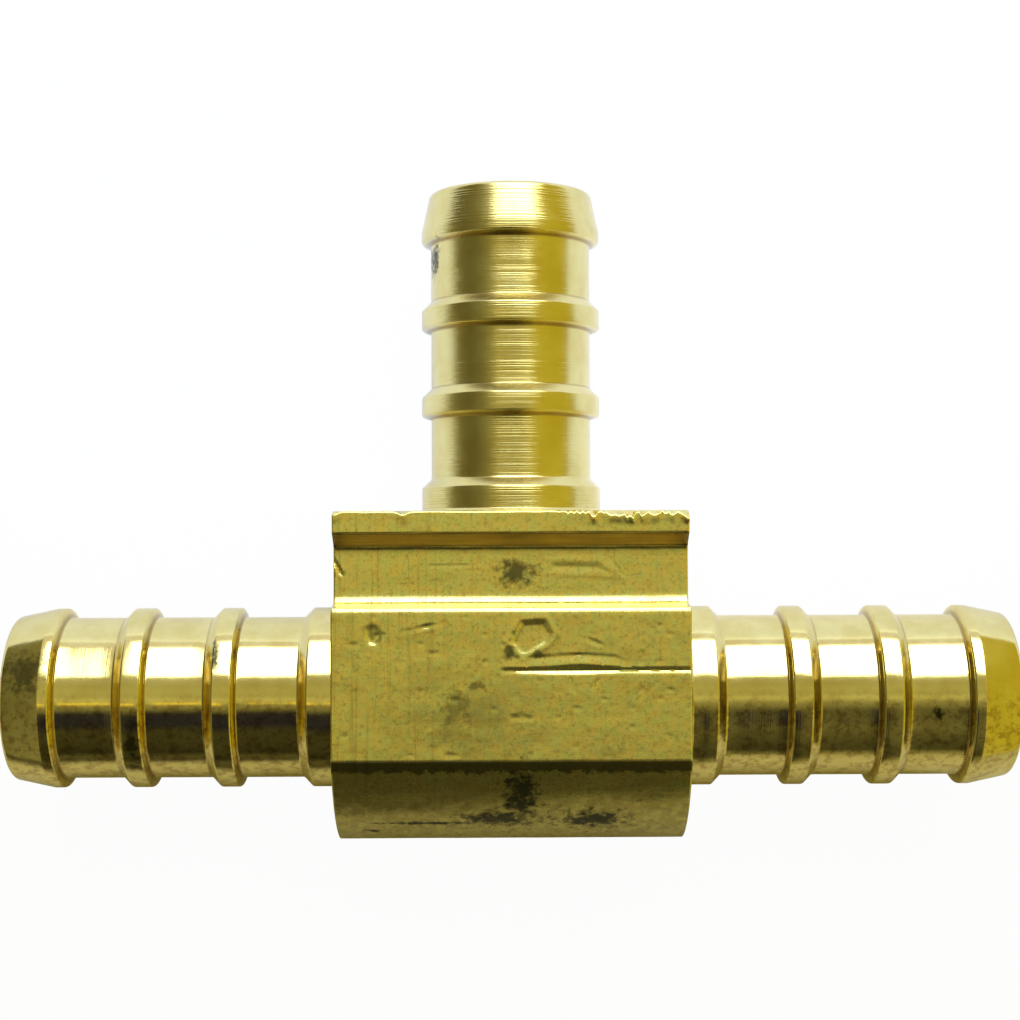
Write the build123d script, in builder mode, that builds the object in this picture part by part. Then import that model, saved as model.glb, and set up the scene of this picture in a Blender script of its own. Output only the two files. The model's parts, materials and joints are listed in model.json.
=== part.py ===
"""Brass tee for 3/8 in plastic water pipe held by crimp rings, in millimetres.

The tee is one solid: a length of extruded bar with a barb turned on each end for the
run, a third barb turned on its top for the branch, and a bore down each barb to the
middle. It lies on the bar's back face. X is along the run, Y along the branch, and Z
up through the bar, from the point of the back face under the crossing of the bores.
"""

import os

from build123d import *

# Bores and the walls around them
bore = 6.0  # diameter, the same at all three ports
barb_wall = 0.98  # from the bore to the root between the ribs
rib_height = 0.47  # from the root to the crest
bar_wall = 2.5  # from the bore to the front and back faces of the bar
neck_wall = 0.8  # from the bore to the thinnest place of the neck
mouth_chamfer = 0.25  # deburred edge of each bore

# Barb, from its open end to the bar
lead_length = 1.95  # cone that the pipe is pushed over
lead_drop = 0.42  # how far the cone falls from the crest to the end face
first_crest = 0.5  # width of the crest behind the cone
rib_crest = 0.92  # width of the crest of the other ribs
rib_count = 3
rib_pitch = 4.35
rib_front = 0.45  # length of a rib's slope on the side of the open end
rib_back = 0.3  # length of its steeper slope on the side of the bar
last_root = 2.85  # plain root between the last rib and the collar
run_collar = 1.35  # collar against the bar, on the run
branch_collar = 1.2  # and on the branch
end_round = 0.25  # rim of the end face
collar_flare = 0.15  # left by the tool where the collar meets the bar

# Bar, by its section: heights are along Y from the axis of the run
bar_length = 17.0
crease_drop = 2.63  # foot of the flat front and back faces
keel_drop = 7.03  # narrow keel between the two curved flanks
keel_width = 1.4  # between the corners where the flanks would meet it
flank_bulge = 0.7
keel_round = 0.75
shoulder_height = 4.5  # top of the flat faces
shoulder_slope = 0.42  # height taken by the wall from the shoulder to the neck
neck_height = 2.48
head_slope = 0.65  # height taken by the underside of the head
head_ledge = 0.3  # from the branch collar to the edge of the head
head_edge = 1.13  # height of the head's upright edge
shoulder_round = 0.3
neck_foot_round = 0.5
neck_top_round = 0.35
edge_break = 0.12  # around both sawn ends of the bar

bore_radius = bore / 2
root_radius = bore_radius + barb_wall
rib_radius = root_radius + rib_height
half_bar = bore_radius + bar_wall
half_neck = bore_radius + neck_wall
half_head = rib_radius + head_ledge

neck_foot = shoulder_height + shoulder_slope
neck_top = neck_foot + neck_height
head_foot = neck_top + head_slope
bar_top = head_foot + head_edge

barb_length = (
    lead_length + first_crest + (rib_count - 1) * rib_pitch + rib_back + last_root + rib_front
)
run_reach = bar_length / 2 + run_collar + barb_length
branch_reach = bar_top + branch_collar + barb_length

crossing = Vector(0, 0, half_bar)
UP = Vector(0, 0, 1)


def barb_outline(reach, collar):
    """Corners of a barb's half section along its axis, from the bar out to the end face."""
    collar_edge = reach - barb_length
    corners = [(collar_edge - collar, 0), (collar_edge - collar, rib_radius)]
    corners += [(collar_edge, rib_radius), (collar_edge + rib_front, root_radius)]
    for rib in reversed(range(rib_count)):
        crest_back = reach - lead_length - first_crest - rib * rib_pitch
        crest_front = crest_back + (rib_crest if rib else first_crest)
        corners += [(crest_back - rib_back, root_radius), (crest_back, rib_radius)]
        corners += [(crest_front, rib_radius)]
        if rib:
            corners += [(crest_front + rib_front, root_radius)]
    return corners + [(reach, rib_radius - lead_drop), (reach, 0)]


with BuildPart() as tee_fitting:
    # The extruded bar: a head, a neck, flat faces and a rounded keel
    bar_end = Plane(crossing - Vector(bar_length / 2, 0, 0), x_dir=(0, 1, 0), z_dir=(1, 0, 0))
    with BuildSketch(bar_end):
        with BuildLine():
            upper = FilletPolyline(
                (bar_top, 0),
                (bar_top, half_head),
                (head_foot, half_head),
                (neck_top, half_neck),
                (neck_foot, half_neck),
                (shoulder_height, half_bar),
                (-crease_drop, half_bar),
                radius=[0, 0, neck_top_round, neck_foot_round, shoulder_round],
            )
            flank = SagittaArc(upper @ 1, (-keel_drop, keel_width / 2), -flank_bulge)
            Line(flank @ 1, (-keel_drop, 0))
            mirror(about=Plane.XZ)
        section = make_face()
        fillet(section.vertices().sort_by(Axis.X)[:2], keel_round)
    extrude(amount=bar_length)
    chamfer(tee_fitting.faces().filter_by(Axis.X).edges(), edge_break)

    # The three turned barbs, each from its own face of the bar
    ports = [
        (Vector(1, 0, 0), run_reach, run_collar),
        (Vector(-1, 0, 0), run_reach, run_collar),
        (Vector(0, 1, 0), branch_reach, branch_collar),
    ]
    for outward, reach, collar in ports:
        with BuildSketch(Plane(crossing, x_dir=outward, z_dir=outward.cross(UP))):
            with BuildLine():
                Polyline(*barb_outline(reach, collar), close=True)
            make_face()
        revolve(axis=Axis(crossing, outward))
        rings = tee_fitting.edges().filter_by(GeomType.CIRCLE)
        rim = rings.sort_by_distance(crossing + outward * reach + UP * (rib_radius - lead_drop))[0]
        fillet(rim, end_round)
        collar_foot = crossing + outward * (reach - barb_length - collar)
        rings = tee_fitting.edges().filter_by(GeomType.CIRCLE)
        chamfer(rings.sort_by_distance(collar_foot + UP * rib_radius)[0], collar_flare)

    # Bores to the crossing, deburred at the mouth
    for outward, reach, collar in ports:
        with Locations(Plane(crossing + outward * reach, z_dir=outward)):
            CounterSinkHole(
                bore_radius, bore_radius + mouth_chamfer, depth=reach, counter_sink_angle=90
            )

os.makedirs("parts", exist_ok=True)
tee_fitting.part.label = "tee_fitting"
export_step(tee_fitting.part, "parts/tee_fitting.step")
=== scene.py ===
"""Looks of the brass tee for 3/8 in plastic water pipe, around its CAD frame.

Sizes are in millimetres from the frame's origin, the point of the bar's back face under
the crossing of the bores. X is along the run, Y along the branch, and Z up out of the
bar's front face. The tee lies on its back face.
"""

import json
import math

import bpy
import numpy as np
from mathutils import Matrix, Vector


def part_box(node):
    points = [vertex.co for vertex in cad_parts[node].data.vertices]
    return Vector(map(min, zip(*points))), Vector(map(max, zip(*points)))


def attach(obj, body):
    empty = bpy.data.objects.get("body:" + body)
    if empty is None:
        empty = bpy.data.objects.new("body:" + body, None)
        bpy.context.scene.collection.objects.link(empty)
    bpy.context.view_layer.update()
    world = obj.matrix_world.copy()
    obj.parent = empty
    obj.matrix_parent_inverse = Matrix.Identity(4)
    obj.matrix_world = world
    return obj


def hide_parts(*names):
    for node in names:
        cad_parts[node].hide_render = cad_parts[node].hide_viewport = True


MM = 0.001

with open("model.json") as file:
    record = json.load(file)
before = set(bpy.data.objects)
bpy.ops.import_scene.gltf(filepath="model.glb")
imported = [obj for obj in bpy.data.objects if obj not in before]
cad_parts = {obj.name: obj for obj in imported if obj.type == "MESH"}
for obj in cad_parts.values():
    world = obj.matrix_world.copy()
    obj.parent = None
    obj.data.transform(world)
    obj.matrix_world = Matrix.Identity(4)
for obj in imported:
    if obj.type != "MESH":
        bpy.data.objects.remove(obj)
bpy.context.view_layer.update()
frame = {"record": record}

# ---------------------------------------------------------------------------------------
# The tee: a piece of drawn brass bar, with a barb turned on both ends for the run and on
# its top for the branch. The three bores are drilled to the middle and deburred. The
# faces of the bar keep the skin of the drawing die, with the knocks of bulk handling.
# ---------------------------------------------------------------------------------------

mounts = {mount["name"]: mount for mount in frame["record"]["mounts"]}
high = np.array(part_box("tee_fitting")[1]) / MM

# Bores and barbs, as the frame has them
bore_radius = mounts["run_bore"]["dims"]["r_mm"]
rib_radius = mounts["right_barb"]["dims"]["r_mm"]
half_bar = high[2] / 2
run_reach = high[0]
branch_reach = high[1]
barb_wall = 0.98  # from the bore to the root between the ribs
root_radius = bore_radius + barb_wall
mouth_chamfer = 0.25

# Barb, from its open end to the bar
lead_length = 1.95
lead_drop = 0.42
first_crest = 0.5
rib_crest = 0.92
rib_count = 3
rib_pitch = 4.35
rib_front = 0.45
rib_back = 0.14
barb_length = 14.75
collar_flare = 0.15
end_round = 0.28
crest_round = 0.14
root_round = 0.16

# Bar, by its section: heights are along Y from the axis of the run
half_length = 8.53
bar_shift = -0.05  # the bar was sawn a little to the left of the branch
crease_drop = 2.63
flank_leans = (15, 29, 72)  # degrees from the flat of the front, at the crease and on
crease_run = 0.67
flank_run = 6.0
keel_edge = 0.75
shoulder_height = 4.42
wall_top = 4.57
wall_foot = 4.785
neck_foot = 5.0
neck_top = 7.47
head_foot = 8.13
bar_top = 9.18
half_neck = 3.8
half_head = 4.75
skin_sink = 0.05  # room under the CAD face for the lips that the knocks raised
saw_break = 0.08


def unit(vectors):
    """Vectors divided by their own length."""
    return vectors / np.linalg.norm(vectors, axis=-1, keepdims=True)


def rounded_line(corners, radii, step):
    """Open line through corners, each inner one rounded by an arc that touches both of its runs.

    An arc of radius r starts and ends r times the tangent of half its turn from the
    corner, and its centre stands r to the side of the run that leads to it. Points are no
    more than a step apart on the runs, and every 13 degrees or less on the arcs.
    """
    corners, radii = np.array(corners, float), np.array(radii, float)
    runs = unit(np.diff(corners, axis=0))
    turn = np.arctan2(
        runs[:-1, 0] * runs[1:, 1] - runs[:-1, 1] * runs[1:, 0],
        (runs[:-1] * runs[1:]).sum(1),
    )
    side = np.stack([-runs[:-1, 1], runs[:-1, 0]], 1) * np.sign(turn)[:, None]
    setback = radii * np.tan(np.abs(turn) / 2)
    starts = corners[1:-1] - runs[:-1] * setback[:, None]
    ends = corners[1:-1] + runs[1:] * setback[:, None]
    centres = starts + side * radii[:, None]
    pieces, here = [], corners[0]
    for corner in range(len(radii)):
        pieces.append(straight(here, starts[corner], step))
        count = max(2, math.ceil(abs(turn[corner]) / math.radians(13)))
        angle = np.linspace(0, abs(turn[corner]), count + 1)[:-1, None]
        if radii[corner]:
            arm = -side[corner] * np.cos(angle) + runs[corner] * np.sin(angle)
            pieces.append(centres[corner] + radii[corner] * arm)
        here = ends[corner]
    pieces += [straight(here, corners[-1], step), corners[-1:]]
    return np.concatenate(pieces)


def straight(start, end, step):
    """Evenly spaced points from start up to, but without, the end."""
    count = max(1, math.ceil(np.linalg.norm(end - start) / step))
    return start + (end - start) * np.arange(count)[:, None] / count


def flank_line(step):
    """Flank from the crease to the middle of the keel, by how steep it is along its length.

    The lean starts at the crease's own, grows along the flank, turns down round the keel's
    edge and then stays upright. Each point is the sum of the short steps before it, minus
    cosine of the lean in height and minus sine of the lean towards the middle.
    """
    edge_turn = math.radians(90 - flank_leans[-1])
    knots = np.cumsum([0, crease_run, flank_run, keel_edge * edge_turn, half_bar])
    length = np.arange(0, knots[-1], 0.004)
    lean = np.radians(np.interp(length, knots, [*flank_leans, 90, 90]))
    line = np.stack([-np.cos(lean), -np.sin(lean)], 1).cumsum(0) * 0.004
    line += [-crease_drop, half_bar - skin_sink]
    line = line[line[:, 1] > 0]
    kept = np.linspace(0, 1, math.ceil(len(line) * 0.004 / step)) * (len(line) - 1)
    line = line[kept.astype(int)]
    line[-1, 1] = 0
    return line


def bar_outline(step):
    """Half section of the bar from the middle of its top, round the front, to the keel."""
    corners = [
        (bar_top, 0),
        (bar_top, half_head),
        (head_foot, half_head),
        (neck_top, half_neck),
        (neck_foot, half_neck),
        (wall_foot, half_neck + 0.155),
        (wall_top, half_bar - 0.16),
        (shoulder_height, half_bar - skin_sink),
        (-crease_drop, half_bar - skin_sink),
    ]
    upper = rounded_line(corners, [0.1, 0.1, 0.35, 0.72, 0.08, 0.1, 0.45], step)
    return np.concatenate([upper, flank_line(step * 1.4)[1:]])


def cap(loop, heights):
    """Triangles that fill a closed loop, both of whose sides only go down from its first point."""
    left, right, faces = 0, len(loop) - 1, []
    while right - left > 1:
        ahead = left + 1 if heights[left + 1] >= heights[right - 1] else right - 1
        faces.append([loop[left], loop[ahead], loop[right]])
        left, right = (ahead, right) if ahead == left + 1 else (left, ahead)
    return faces


def grid_mesh(name, points, side=1):
    """Mesh of a grid of points, round a loop in each row, with the first and last rows capped.

    The caps go down along the given axis from the first point of their rows.
    """
    rows, columns = points.shape[:2]
    index = np.arange(rows * columns).reshape(rows, columns)
    below, above = index[:-1], index[1:]
    quads = np.stack(
        [below, np.roll(below, -1, 1), np.roll(above, -1, 1), above], -1
    ).reshape(-1, 4)
    faces = quads.tolist()
    faces += [face[::-1] for face in cap(index[0].tolist(), points[0, :, side])]
    faces += cap(index[-1].tolist(), points[-1, :, side])
    mesh = bpy.data.meshes.new(name)
    mesh.from_pydata(points.reshape(-1, 3) * MM, [], faces)
    mesh.update()
    return mesh


def grain(u, v, seed, cells=64):
    """Smooth noise from -1 to 1: seeded values on a square lattice, blended between cells."""
    table = np.random.default_rng(seed).uniform(-1, 1, (cells, cells))
    u, v = np.broadcast_arrays(np.asarray(u, float), np.asarray(v, float))
    i, j = np.floor(u).astype(int), np.floor(v).astype(int)
    s, t = u - i, v - j
    s, t = s * s * (3 - 2 * s), t * t * (3 - 2 * t)
    a, b = table[i % cells, j % cells], table[(i + 1) % cells, j % cells]
    c, d = table[i % cells, (j + 1) % cells], table[(i + 1) % cells, (j + 1) % cells]
    return (a * (1 - s) + b * s) * (1 - t) + (c * (1 - s) + d * s) * t


def ramp(value, start, end):
    """0 before start and 1 after end, eased between."""
    t = np.clip((value - start) / (end - start), 0, 1)
    return t * t * (3 - 2 * t)


def along(x, y, start, end):
    """Place of each point on the line from start to end: share of its length, and how far off."""
    run = np.subtract(end, start)
    length = np.hypot(*run)
    share = ((x - start[0]) * run[0] + (y - start[1]) * run[1]) / length**2
    return share, ((y - start[1]) * run[0] - (x - start[0]) * run[1]) / length


def scratch(x, y, start, end, width, depth):
    """Round-bottomed groove along a line, fading at both ends, with a low lip on each side."""
    share, off = along(x, y, start, end)
    fade = ramp(share, -0.05, 0.2) * (1 - ramp(share, 0.75, 1.05))
    across = np.abs(off) / width
    return depth * fade * (0.35 * np.exp(-4 * (across - 1.4) ** 2) - np.exp(-2 * across**2))


def dent(x, y, corners, wall, depth):
    """Flat-bottomed dent inside corners given anticlockwise, with a low lip just outside.

    The depth grows with the distance inwards from the nearest side, over the wall's width.
    """
    corners = np.array(corners)
    sides = np.roll(corners, -1, 0) - corners
    inward = unit(np.stack([-sides[:, 1], sides[:, 0]], 1))
    off = (x[..., None] - corners[:, 0]) * inward[:, 0]
    off = (off + (y[..., None] - corners[:, 1]) * inward[:, 1]).min(-1)
    return 0.35 * depth * np.exp(-(((off + 0.1) / 0.1) ** 2)) - depth * ramp(off, 0, wall)


def chip(x, y, centre, half, depth):
    """Hollow in an ellipse, deepest near its lower rim, where a short wall brings it back up."""
    across, up = (x - centre[0]) / half[0], (y - centre[1]) / half[1]
    reach = np.hypot(across, up) * (1 + 0.12 * grain(x * 3, y * 3, 11))
    slope = 0.6 - 0.4 * (0.3 * across + 0.9 * up)
    return -depth * slope * (1 - ramp(reach, 0.5, 1.05))


def gouge(x, y):
    """Long gouge that runs off the right end of the bar, ploughed up towards the head.

    Its section goes down a narrow wall to the bottom, up the hollow to a lip, down the
    lip's long back, and up a small step to the face. All four change along X.
    """
    stations = [-0.6, -0.4, 1.6, 3.1, 4.8, 5.3, half_length]
    bottom = np.interp(x, stations, [1.64, 1.61, 1.59, 1.57, 1.6, 1.62, 1.6])
    bottom = bottom + 0.012 * grain(x * 2.1, 0, 5)
    hollow = np.interp(x, stations, [0.05, 0.1, 0.2, 0.36, 0.17, 0.12, 0.13])
    depth = np.interp(x, stations, [0, 0.045, 0.085, 0.1, 0.08, 0.07, 0.07])
    lip = np.interp(x, stations, [0, 0.012, 0.03, 0.04, 0.03, 0.006, 0])
    step = np.interp(x, stations, [1.9, 2.2, 2.28, 2.34, 2.28, 2.05, 2.0])
    down = np.clip((y - bottom + 0.17) / 0.17, 0, 1)
    up = np.clip((y - bottom) / hollow, 0, 1)
    back = np.clip((y - bottom - hollow) / (step - bottom - hollow), 0, 1)
    rise = np.clip((y - step) / 0.06, 0, 1)
    return -depth * down + (depth + lip) * up - 1.9 * lip * back + 0.9 * lip * rise


def relief(x, y, w):
    """Heights of the die's waves and of the knocks: on the front face, and on the neck over it."""
    waves = 0.007 * grain(x * 0.9, y * 1.3 + w, 3) + 0.0025 * grain(x * 3.1, y * 4.2 + w, 4)
    pits = -0.02 * ramp(grain(x * 2.3, y * 2.3 + w, 6), 0.72, 0.95)
    face = gouge(x, y) + pits
    knock = [(-0.13, 2.95), (0.5, 2.22), (1.62, 2.86), (1.98, 3.3), (1.55, 4.0), (0.42, 3.95)]
    face += dent(x, y, knock, 0.22, 0.06)
    face += chip(x, y, (-6.55, 3.32), (0.45, 0.6), 0.12)
    rough_run = 0.7 + 0.9 * grain(x * 3.7, y, 8)
    face += scratch(x, y, (-5.2, 3.42), (-3.0, 3.93), 0.12, 0.04) * rough_run
    face += scratch(x, y, (2.78, 1.3), (2.86, 0.5), 0.07, 0.035)
    face += scratch(x, y, (4.0, 1.2), (3.8, 0.7), 0.08, 0.045)
    face += scratch(x, y, (6.94, 1.14), (5.75, 0.05), 0.07, 0.012)
    face += scratch(x, y, (3.5, 3.1), (4.3, 2.75), 0.12, 0.02)
    neck = dent(x, y, [(1.7, 6.25), (4.9, 6.1), (4.2, 6.7), (1.92, 6.72)], 0.3, 0.025)
    neck += scratch(x, y, (4.6, 7.05), (5.45, 5.85), 0.09, 0.02)
    neck += scratch(x, y, (-4.1, 6.53), (-1.8, 6.56), 0.07, 0.018)
    neck += scratch(x, y, (-8.6, 6.9), (-8.1, 6.0), 0.12, 0.08)
    on_face = (y < shoulder_height) & (y > -crease_drop)
    on_neck = (y > neck_foot) & (y < neck_top)
    return waves + np.where(on_face, face, 0) + np.where(on_neck, neck, 0)


def torn_edge(x, y, w):
    """How far the head's top front edge is pulled down: a bent corner, a notch and a torn part.

    The amount changes along X, and fades out a little way from the edge on both faces.
    """
    bent = 0.14 * (1 - ramp(x, -8.5, -8.0))
    notch = 0.16 * np.exp(-(((x + 5.2) / 0.26) ** 2))
    torn = 0.15 + 0.13 * grain(x * 2.3, 0, 21) + 0.14 * grain(x * 7.1, 3, 22)
    torn = torn * ramp(x, 2.0, 3.4) * (1 - ramp(x, 7.6, 8.1))
    corner = 0.4 * ramp(x, 7.8, 8.6)
    drop = 0.01 + 0.015 * grain(x * 1.7, 0, 23) + bent + notch + torn + corner
    towards_front = ramp(w, half_head - 0.5, half_head - 0.02)
    return drop * towards_front * ramp(y, bar_top - 0.8, bar_top - 0.02)


def bar_mesh():
    """Bar: its closed outline carried along X, shrunk round each sawn end, plus the knocks.

    Each point stands at the outline's point, less the outward normal times the rounding
    of the end there, plus that normal times the height of the knocks on the front.
    """
    fine, coarse = bar_outline(0.085), bar_outline(0.4)
    back = coarse[::-1] * [1, -1]
    back[:, 1] = np.where(back[:, 1] < skin_sink - half_bar + 1e-6, -half_bar, back[:, 1])
    outline = np.concatenate([fine, back[1:-1]])
    tangent = np.roll(outline, -1, 0) - np.roll(outline, 1, 0)
    normal = unit(np.stack([tangent[:, 1], -tangent[:, 0]], 1))
    turn = np.linspace(0, math.pi / 2, 4)
    end = half_length - saw_break * (1 - np.sin(turn))
    inner = np.arange(-half_length + 2 * saw_break, half_length - saw_break, 0.1)
    stations = np.concatenate([-end[::-1], inner, end]) + bar_shift
    shrink = saw_break * (1 - np.cos(turn))
    shrink = np.concatenate([shrink[::-1], 0 * inner, shrink])
    x = np.broadcast_to(stations[:, None], (len(stations), len(outline)))
    y, w = outline[None, :, 0] + 0 * x, outline[None, :, 1] + 0 * x
    height = np.where(w > 0.5, relief(x, y, w), 0) - shrink[:, None]
    height = np.where(w > half_bar - 0.1, np.minimum(height, skin_sink), height)
    torn = torn_edge(x, y, w)
    y = y + normal[:, 0] * height - torn
    w = w + normal[:, 1] * height + 0.25 * torn
    return grid_mesh("bar", np.stack([x, y, w + half_bar], -1))


def barb_profile(reach, collar):
    """Corners and roundings of a barb's half section, from inside the bar to the open end."""
    collar_edge = reach - barb_length
    foot = collar_edge - collar
    corners = [
        (foot - 0.5, rib_radius + collar_flare),
        (foot, rib_radius + collar_flare),
        (foot + collar_flare, rib_radius),
        (collar_edge, rib_radius),
        (collar_edge + rib_front, root_radius),
    ]
    radii = [0, 0.05, crest_round, root_round]
    for rib in reversed(range(rib_count)):
        crest_back = reach - lead_length - first_crest - rib * rib_pitch
        crest_front = crest_back + (rib_crest if rib else first_crest)
        corners += [(crest_back - rib_back, root_radius), (crest_back, rib_radius)]
        corners += [(crest_front, rib_radius)]
        radii += [root_round, crest_round, crest_round if rib else 0.3]
        if rib:
            corners += [(crest_front + rib_front, root_radius)]
            radii += [root_round]
    corners += [(reach, rib_radius - lead_drop), (reach, bore_radius - 0.4)]
    return corners, radii + [end_round]


def turned(corners, radii, step, around, outward, off=0):
    """Surface of a profile turned round an axis through the crossing.

    A point of the profile s out along the axis and r from it goes to the crossing plus s
    times the axis plus r times (cos, sin) of the angle on the two directions across it.
    """
    profile = rounded_line(corners, radii, step)
    angle = np.arange(around) * 2 * math.pi / around + off
    outward = np.array(outward, float)
    across = np.array([0, 0, 1.0])
    beside = np.cross(outward, across)
    ring = np.cos(angle)[:, None] * across + np.sin(angle)[:, None] * beside
    points = profile[:, None, :1] * outward + profile[:, None, 1:] * ring
    return points + [0, 0, half_bar]


def new_object(name, mesh):
    """Object of a mesh, linked to the scene."""
    made = bpy.data.objects.new(name, mesh)
    bpy.context.scene.collection.objects.link(made)
    return made


ports = [
    ((1, 0, 0), run_reach, 1.35),
    ((-1, 0, 0), run_reach, 1.35),
    ((0, 1, 0), branch_reach, 1.2),
]
tee = new_object("tee", bar_mesh())
tools = []
for outward, reach, collar in ports:
    corners, radii = barb_profile(reach, collar)
    points = turned(corners, radii, 0.7, 88, outward)
    tools.append(("UNION", new_object("barb", grid_mesh("barb", points, 2))))
run_mouths = [
    (-run_reach - 0.1, bore_radius + mouth_chamfer + 0.1),
    (-run_reach + mouth_chamfer, bore_radius),
    (run_reach - mouth_chamfer, bore_radius),
    (run_reach + 0.1, bore_radius + mouth_chamfer + 0.1),
]
points = turned(run_mouths, [0.1, 0.1], 1.5, 96, (1, 0, 0))
tools.append(("DIFFERENCE", new_object("run_drill", grid_mesh("run_drill", points, 2))))
branch_mouth = [
    (0, bore_radius - 0.03),
    (branch_reach - mouth_chamfer, bore_radius - 0.03),
    (branch_reach + 0.1, bore_radius + mouth_chamfer + 0.1),
]
points = turned(branch_mouth, [0.1], 1.5, 96, (0, 1, 0), 0.013)
tools.append(("DIFFERENCE", new_object("branch_drill", grid_mesh("branch_drill", points, 2))))
for operation, tool in tools:
    cut = tee.modifiers.new(tool.name, "BOOLEAN")
    cut.operation, cut.object, cut.solver = operation, tool, "MANIFOLD"
    bpy.context.view_layer.update()
    finished = bpy.data.meshes.new_from_object(
        tee.evaluated_get(bpy.context.evaluated_depsgraph_get())
    )
    tee.modifiers.clear()
    tee.data = finished
    bpy.data.objects.remove(tool)
tee.data.name = "tee"
tee.data.shade_smooth()
tee.data.set_sharp_from_angle(angle=math.radians(32))
weights = tee.modifiers.new("face_weights", "WEIGHTED_NORMAL")
weights.keep_sharp = True


class Socket:
    """An output of a node, on which each of Python's operators adds its Math node."""

    def __init__(self, finish, output):
        self.finish, self.output = finish, output

    def math(self, operation, *terms):
        return self.finish.node("ShaderNodeMath", {"operation": operation}, dict(enumerate(terms)))

    def __add__(self, other):
        return self.math("ADD", self, other)

    def __sub__(self, other):
        return self.math("SUBTRACT", self, other)

    def __rsub__(self, other):
        return self.math("SUBTRACT", other, self)

    def __mul__(self, other):
        return self.math("MULTIPLY", self, other)

    def __truediv__(self, other):
        return self.math("DIVIDE", self, other)

    def __abs__(self):
        return self.math("ABSOLUTE", self)

    def __pow__(self, other):
        return self.math("POWER", self, other)

    __radd__, __rmul__ = __add__, __mul__

    def most(self, other):
        return self.math("MAXIMUM", self, other)

    def least(self, other):
        return self.math("MINIMUM", self, other)

    def between(self, start, end):
        """0 below start and 1 above end, eased between."""
        settings = {"interpolation_type": "SMOOTHSTEP"}
        return self.finish.node("ShaderNodeMapRange", settings, {0: self, 1: start, 2: end})


class Finish:
    """The node tree of a material or a world, and one method that adds any node to it."""

    def __init__(self, owner):
        owner.use_nodes = True
        self.tree = owner.node_tree
        self.tree.nodes.clear()

    def node(self, kind, settings, inputs, output=0):
        made = self.tree.nodes.new(kind)
        for name, value in settings.items():
            if name == "stops":
                ramp_points = made.color_ramp.elements
                while len(ramp_points) < len(value):
                    ramp_points.new(0.5)
                for point, (place, colour) in zip(ramp_points, value):
                    point.position, point.color = place, (*colour, 1)
            else:
                setattr(made, name, value)
        for name, value in inputs.items():
            if isinstance(value, Socket):
                self.tree.links.new(value.output, made.inputs[name])
            else:
                made.inputs[name].default_value = value
        return Socket(self, made.outputs[output]) if len(made.outputs) else made

    def split(self, vector):
        first = self.node("ShaderNodeSeparateXYZ", {}, {0: vector})
        outputs = first.output.node.outputs
        return [Socket(self, outputs[axis]) for axis in range(3)]

    def blend(self, share, first, second):
        """Colour mix from first to second by share."""
        return self.node(
            "ShaderNodeMix", {"data_type": "RGBA"}, {0: share, 6: first, 7: second}, 2
        )

    def noise(self, vector, scale, detail=2.0, rough=0.5):
        return self.node(
            "ShaderNodeTexNoise",
            {"noise_dimensions": "3D"},
            {"Vector": vector, "Scale": scale, "Detail": detail, "Roughness": rough},
        )


def stain_and_shadow_patch(finish, x, y, centre, size, ragged):
    """Share of a patch, for stains and painted shadows: 1 inside an ellipse and 0 outside, its rim
    broken up by a noise.
    """
    across = (x - centre[0]) / size[0]
    up = (y - centre[1]) / size[1]
    return (1 - (across * across + up * up) ** 0.5 + (ragged - 0.5) * 3.4).between(-0.25, 0.75)


brass = bpy.data.materials.new("brass")
finish = Finish(brass)
place = finish.node("ShaderNodeTexCoord", {}, {}, "Object")
place = finish.node("ShaderNodeVectorMath", {"operation": "SCALE"}, {0: place, "Scale": 1 / MM})
x, y, z = finish.split(place)
w = z - half_bar
run_end = abs(x - bar_shift).between(half_length - 0.03, half_length + 0.02)
branch_end = y.between(bar_top - 0.03, bar_top + 0.02)
turned_share = run_end.most(branch_end)
skin = w.between(0, 0.5) * (1 - turned_share)


def stretched(x_scale, y_scale, z_scale, detail=2.0):
    """Noise whose cells are stretched along the axes with small scales."""
    scales = {0: place, 1: (x_scale, y_scale, z_scale)}
    wide = finish.node("ShaderNodeVectorMath", {"operation": "MULTIPLY"}, scales)
    return finish.noise(wide, 1.0, detail)


# marks of the die along the bar, and of the lathe round the barbs and on the faced ends
die_lines = stretched(0.3, 9.0, 9.0, 3.0)
rub_lines = stretched(7.0, 0.5, 0.5, 3.0)
from_run = (y * y + w * w) ** 0.5
from_branch = (x * x + w * w) ** 0.5
feed = (abs(x) + from_run) * (1 - branch_end) + (y + from_branch) * branch_end
rings = finish.node(
    "ShaderNodeTexNoise",
    {"noise_dimensions": "1D"},
    {"W": feed, "Scale": 16.0, "Detail": 2.0},
)
mottle = finish.noise(place, 0.7, 4.0, 0.6)
speckle = finish.noise(place, 4.5, 3.0, 0.6)
fine = finish.noise(place, 9.0, 3.0, 0.7)
patches = finish.noise(place, 1.9, 3.0, 0.6)

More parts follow.
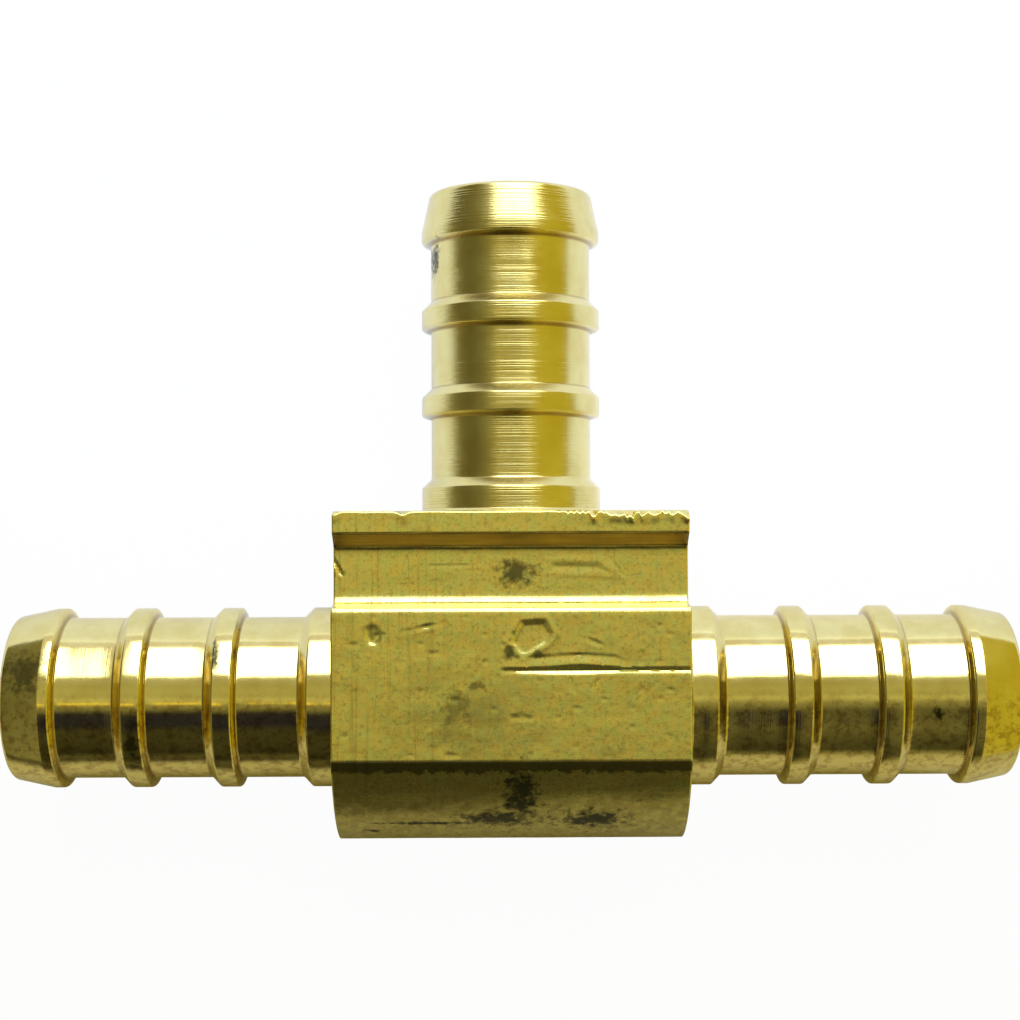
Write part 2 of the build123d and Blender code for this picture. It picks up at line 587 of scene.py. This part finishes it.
clean = finish.blend(mottle.between(0.3, 0.7), (0.76, 0.63, 0.23, 1), (0.84, 0.73, 0.31, 1))
drawn = finish.blend(patches.between(0.35, 0.65), (0.95, 0.75, 0.23, 1), (0.82, 0.79, 0.28, 1))
drawn = finish.blend(speckle.between(0.48, 0.75) * 0.55, drawn, (0.45, 0.36, 0.13, 1))
drawn = finish.blend(fine.between(0.5, 0.8) * 0.5, drawn, (0.4, 0.36, 0.14, 1))
drawn = finish.blend(die_lines.between(0.55, 0.8) * 0.35, drawn, (0.9, 0.8, 0.4, 1))
streaks = stretched(5.0, 0.22, 0.22, 3.0)
streak_share = streaks.between(0.5, 0.75) * (0.5 - 0.35 * x.between(-5, -2))
drawn = finish.blend(streak_share, drawn, (0.42, 0.33, 0.1, 1))
worn = (1 - (((x + 2.2) / 4.5) ** 2 + ((y + 0.6) / 2.6) ** 2).least(1)) * mottle.between(0.35, 0.6)
drawn = finish.blend(worn * 0.5, drawn, (0.34, 0.33, 0.14, 1))
colour = finish.blend(turned_share, drawn, clean)

# painted shade: dark brown lines at the feet of the ribs, where their walls and fillets are in
# shadow
in_from_end = (run_reach - abs(x)) * (1 - branch_end) + (branch_reach - y) * branch_end
in_pitch = (in_from_end / rib_pitch).math("FRACT", in_from_end / rib_pitch) * rib_pitch
back_foot = lead_length + first_crest + rib_back
front_foot = back_foot - rib_back - rib_crest - rib_front
foot = (1 - abs(in_pitch - back_foot).between(0.02, 0.1)).most(
    0.6 - abs(in_pitch - front_foot).between(0.01, 0.1)
)
foot = foot * turned_share * in_from_end.between(2.0, 2.1) * (1 - in_from_end.between(13, 13.1))
colour = finish.blend(foot * 0.6, colour, (0.2, 0.08, 0.02, 1))

# painted shade under the head: brown in the recess, near-black lines along the head's lower edge
# and the top of the neck, and a darker band fading down the neck; below, black oil on the flank and
# keel, and painted shade along the crease
recess = y.between(7.4, 7.5) * (1 - y.between(8.1, 8.14)) * abs(w).between(3.5, 3.7)
recess = recess * (1 - turned_share)
edge_shade_lines = (1 - abs(y - 7.5).between(0.02, 0.09)).most(1 - abs(y - 8.08).between(0.02, 0.06))
under_head_shade = finish.blend(edge_shade_lines * 0.8, (0.14, 0.09, 0.03, 1), (0.03, 0.02, 0.008, 1))
# painted shade: the top of the neck darker, fading downwards
shade = y.between(6.95, 7.5) * (1 - y.between(8.1, 8.14)) * skin * 0.5
colour = finish.blend(shade, colour, (0.09, 0.07, 0.02, 1))
colour = finish.blend(recess * (0.95 + 0.5 * (die_lines - 0.5)), colour, under_head_shade)
ragged = finish.noise(place, 2.4, 6.0, 0.7)
# painted shade: a dark band with a ragged lower edge just under the crease
crease_shade = (1 - y.between(-2.72, -2.6)) * (y + (ragged - 0.5) * 1.1).between(-3.35, -3.1)
oil_and_shade = stain_and_shadow_patch(finish, x, y, (0.4, -4.2), (1.0, 1.8), ragged)
oil_and_shade = oil_and_shade.most(stain_and_shadow_patch(finish, x, y, (-0.6, -5.65), (2.1, 0.5), ragged))
oil_and_shade = oil_and_shade.most(stain_and_shadow_patch(finish, x, y, (3.9, -5.75), (1.7, 0.6), ragged))
oil_and_shade = oil_and_shade.most(stain_and_shadow_patch(finish, x, y, (-4.2, -5.93), (2.6, 0.1), ragged))
oil_and_shade = oil_and_shade.most(stain_and_shadow_patch(finish, x, y, (-6.8, -6.4), (0.5, 0.12), ragged))
oil_and_shade = oil_and_shade.most(stain_and_shadow_patch(finish, x, y, (0.2, 6.15), (1.1, 0.75), ragged) * 0.85)
oil_and_shade = oil_and_shade.most(stain_and_shadow_patch(finish, x, y, (-2.65, -0.2), (0.75, 1.0), ragged) * 0.5)
oil_and_shade = oil_and_shade.most(stain_and_shadow_patch(finish, x, y, (-1.6, 0.9), (0.5, 0.2), ragged) * 0.6)
# painted shadows: these two patches darken the face just below the dent's lower edges
oil_and_shade = oil_and_shade.most(stain_and_shadow_patch(finish, x, y, (-0.2, 2.5), (0.35, 0.4), ragged) * 0.8)
oil_and_shade = oil_and_shade.most(stain_and_shadow_patch(finish, x, y, (1.2, 2.35), (0.45, 0.2), ragged) * 0.8)
# grime and painted shade on the flank: blotches, darkest just under the crease and lighter towards
# the keel
flank_grime_and_shade = (1 - y.between(-2.75, -2.6)) * (1 - turned_share)
blotches = finish.blend(patches.between(0.4, 0.6), (0.2, 0.17, 0.05, 1), (0.4, 0.3, 0.1, 1))
blotches = finish.blend(ragged.between(0.5, 0.62) * 0.7, blotches, (0.06, 0.05, 0.02, 1))
# darker brown patches on the turned parts, only on their side towards the keel, below the run's
# axis
lower_side_brown = (1 - y.between(-0.6, 0.9)) * turned_share * ragged.between(0.45, 0.62)
colour = finish.blend(lower_side_brown * 0.55, colour, (0.3, 0.15, 0.05, 1))
colour = finish.blend(flank_grime_and_shade * (0.72 - 0.5 * y.between(-5.2, -3.8)), colour, blotches)
oil_and_shade = oil_and_shade.most(crease_shade * 0.9) * skin
smut = stain_and_shadow_patch(finish, x, y, (-14.25, 2.3), (0.22, 0.75), ragged)
smut = smut.most(stain_and_shadow_patch(finish, x, y, (-18.25, -1.7), (0.35, 1.2), ragged) * 0.8)
smut = smut.most(stain_and_shadow_patch(finish, x, y, (-23.4, 1.5), (1.0, 1.1), ragged) * 0.75)
smut = smut.most(stain_and_shadow_patch(finish, x, y, (20.47, -0.6), (0.3, 0.35), ragged))
smut = smut.most(stain_and_shadow_patch(finish, x, y, (-3.75, 21.7), (0.25, 0.8), ragged))
oil_and_shade = oil_and_shade.most(smut * turned_share * w.between(0, 0.5))
# near-black: oil stains on the bar and barbs, with the painted shadows by the dent and the painted
# shade under the crease
colour = finish.blend(oil_and_shade * 0.95, colour, (0.03, 0.03, 0.016, 1))

bumps = die_lines * 0.0012 + rub_lines * 0.0012 + speckle * 0.0026 + patches * 0.004 + fine * 0.0008
turned_bumps = rings * (0.0015 + 0.0145 * branch_end) + speckle * 0.0012
bumps = bumps * (1 - turned_share) + turned_bumps * turned_share
normal = finish.node("ShaderNodeBump", {}, {"Strength": 1.0, "Distance": MM, "Height": bumps})
rough = 0.27 - 0.15 * turned_share + 0.09 * branch_end + 0.12 * (mottle - 0.5)
rough = rough + 0.15 * oil_and_shade + 0.15 * recess
shader = finish.node(
    "ShaderNodeBsdfPrincipled",
    {},
    {"Base Color": colour, "Metallic": 1.0, "Roughness": rough, "Normal": normal},
)
finish.node("ShaderNodeOutputMaterial", {}, {"Surface": shader})
tee.data.materials.clear()
tee.data.materials.append(brass)
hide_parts("tee_fitting")
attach(tee, "root")

# ---------------------------------------------------------------------------------------
# The table that the tee lies on, a board much larger than the tee. The camera sees it as
# white. The tee is lit by it as a warm board, with a dark part to the front left and a
# blue glow along the middle and behind, so it isn't plain for the reflections.
# ---------------------------------------------------------------------------------------

table_half = 600
corners = np.array([[-1, -1, 0], [1, -1, 0], [1, 1, 0], [-1, 1, 0]], float) * table_half
mesh = bpy.data.meshes.new("table")
mesh.from_pydata(corners * MM, [], [(0, 1, 2, 3)])
table = new_object("table", mesh)
board = bpy.data.materials.new("board")
finish = Finish(board)
seen = finish.node("ShaderNodeLightPath", {}, {}, "Is Camera Ray")
place = finish.node("ShaderNodeTexCoord", {}, {}, "Object")
x, y, z = finish.split(place)
behind = y.between(-0.005, 0.015)
far_left = (1 - y.between(-0.07, -0.02)) * (1 - x.between(-0.005, 0.005))
board_colour = finish.blend(behind, (0.8, 0.76, 0.6, 1), (0.9, 0.9, 0.9, 1))
board_colour = finish.blend(far_left, board_colour, (0.15, 0.14, 0.1, 1))
board_glow = finish.blend(behind, (0, 0, 0, 1), (0.22, 0.29, 0.6, 1))
matt = finish.node(
    "ShaderNodeBsdfPrincipled",
    {},
    {
        "Base Color": board_colour,
        "Roughness": 1.0,
        "Specular IOR Level": 0.0,
        "Emission Color": board_glow,
        "Emission Strength": 1.0,
    },
)
white = finish.node("ShaderNodeEmission", {}, {"Color": (1, 1, 1, 1), "Strength": 1.0})
surface = finish.node("ShaderNodeMixShader", {}, {0: seen * 0.97, 1: matt, 2: white})
finish.node("ShaderNodeOutputMaterial", {}, {"Surface": surface})
table.data.materials.append(board)

# ---------------------------------------------------------------------------------------
# Light: one large softbox over the head of the tee, in a room that is darker behind the
# camera's left side and towards the keel, and warm on the right. A narrow yellow strip on
# the left gives the line along the run's left barb. The light isn't neutral: the room
# takes blue away, mostly from the side towards the keel.
# ---------------------------------------------------------------------------------------

softbox_radiance = 3.7
softbox_distance = 0.5
softbox_tilt = math.radians(54.8)  # from straight up towards the branch
softbox_turn = math.radians(7)  # and to the right
softbox_width = 2 * softbox_distance * math.tan(math.radians(23.5))
softbox_height = 2 * softbox_distance * math.tan(math.radians(23.8))
lamp = bpy.data.lights.new("softbox", "AREA")
lamp.shape = "RECTANGLE"
lamp.size, lamp.size_y = softbox_width, softbox_height
lamp.color = (0.86, 0.94, 1.0)
lamp.energy = softbox_radiance * math.pi * softbox_width * softbox_height
softbox = new_object("softbox", lamp)
towards = Vector(
    (
        math.sin(softbox_turn),
        math.cos(softbox_turn) * math.sin(softbox_tilt),
        math.cos(softbox_turn) * math.cos(softbox_tilt),
    )
)
aim = Vector((0, 0, half_bar * MM))
softbox.location = aim + towards * softbox_distance
softbox.rotation_euler = towards.to_track_quat("Z", "Y").to_euler()

room = bpy.data.worlds.new("room")
bpy.context.scene.world = room
finish = Finish(room)
sight = finish.node("ShaderNodeTexCoord", {}, {}, "Generated")
east, north, up = finish.split(sight)
across = east.math("ARCSINE", east) * (180 / math.pi)
rise = north.math("ARCTAN2", north, up) * (180 / math.pi)


def warm(level, blue=0.4):
    """Light of a room with timber and brass in it: a little less green, and much less blue."""
    return (level, level * 0.93, level * blue)


def round_the_room(angle, points):
    """Ramp of light over an angle in degrees, from (degrees, colour) pairs."""
    first, last = points[0][0], points[-1][0]
    places = [((degrees - first) / (last - first), colour) for degrees, colour in points]
    return finish.node(
        "ShaderNodeValToRGB", {"stops": places}, {0: (angle - first) / (last - first)}
    )


overhead = [(-11.4, warm(0.25)), (-6.5, warm(0.31)), (-3, warm(0.5)), (-1, warm(0.6))]
overhead += [(1.5, warm(0.6)), (4.5, warm(0.46)), (12, warm(0.5)), (20, warm(0.44))]
overhead += [(80, warm(0.78, 0.95)), (92, (0.82, 0.86, 0.95)), (115, (0.8, 0.93, 1.35))]
left_low = [(-95, warm(0.2)), (-89, warm(0.1)), (-81, warm(0.03)), (-68, warm(0.05))]
left_low += [(-44, warm(0.055)), (-35, warm(0.025, 1.4)), (-19, warm(0.025, 1.4))]
left_low += [(-15, warm(0.13))]
right_low = [(-95, warm(0.4)), (-89, warm(0.3)), (-82, warm(0.07)), (-68, warm(0.08))]
right_low += [(-44, warm(0.16)), (-30, warm(0.13)), (-19, warm(0.13)), (-15, warm(0.17))]
left = round_the_room(rise, left_low + overhead)
right = round_the_room(rise, right_low + overhead)
middle = finish.blend(across.between(6, 10), left, right)
strip = (1 - abs(rise + 4.8).between(0.5, 1.5)) * (1 - across.between(-9, -7))
middle = finish.blend(strip, middle, (1.5, 1.15, 0.12, 1))
sides = round_the_room(
    across,
    [
        (-90, warm(0.45)),
        (-84, warm(0.35)),
        (-76, warm(0.18)),
        (-57, warm(0.12)),
        (-38, warm(0.19)),
        (-21, warm(0.3)),
        (-13, warm(0.42)),
        (22, warm(0.6)),
        (34, (0.54, 0.46, 0.05)),
        (76, (0.54, 0.46, 0.04)),
        (90, (0.5, 0.46, 0.15)),
    ],
)
lit = finish.blend(abs(across).between(16, 30), middle, sides)
seen = finish.node("ShaderNodeLightPath", {}, {}, "Is Camera Ray")
lit = finish.blend(seen, lit, (1, 1, 1, 1))
background = finish.node("ShaderNodeBackground", {}, {"Color": lit, "Strength": 1.0})
finish.node("ShaderNodeOutputWorld", {}, {"Surface": background})

# ---------------------------------------------------------------------------------------
# Camera: almost straight over the front face.
# ---------------------------------------------------------------------------------------

camera = bpy.data.cameras.new("camera")
camera.sensor_width = 36
camera.lens = 62.895
camera.clip_start = 0.005
eye = new_object("camera", camera)
roll, pitch, yaw = (math.radians(angle) for angle in (0.230, -1.341, 0.314))
turned_view = (
    Matrix.Rotation(roll, 3, "Z") @ Matrix.Rotation(pitch, 3, "X") @ Matrix.Rotation(yaw, 3, "Y")
)
eye.matrix_world = (
    Matrix.Translation(Vector((-0.546, 7.207, 95.022)) * MM) @ turned_view.transposed().to_4x4()
)
bpy.context.scene.camera = eye
bpy.context.scene.view_settings.view_transform = "Standard"
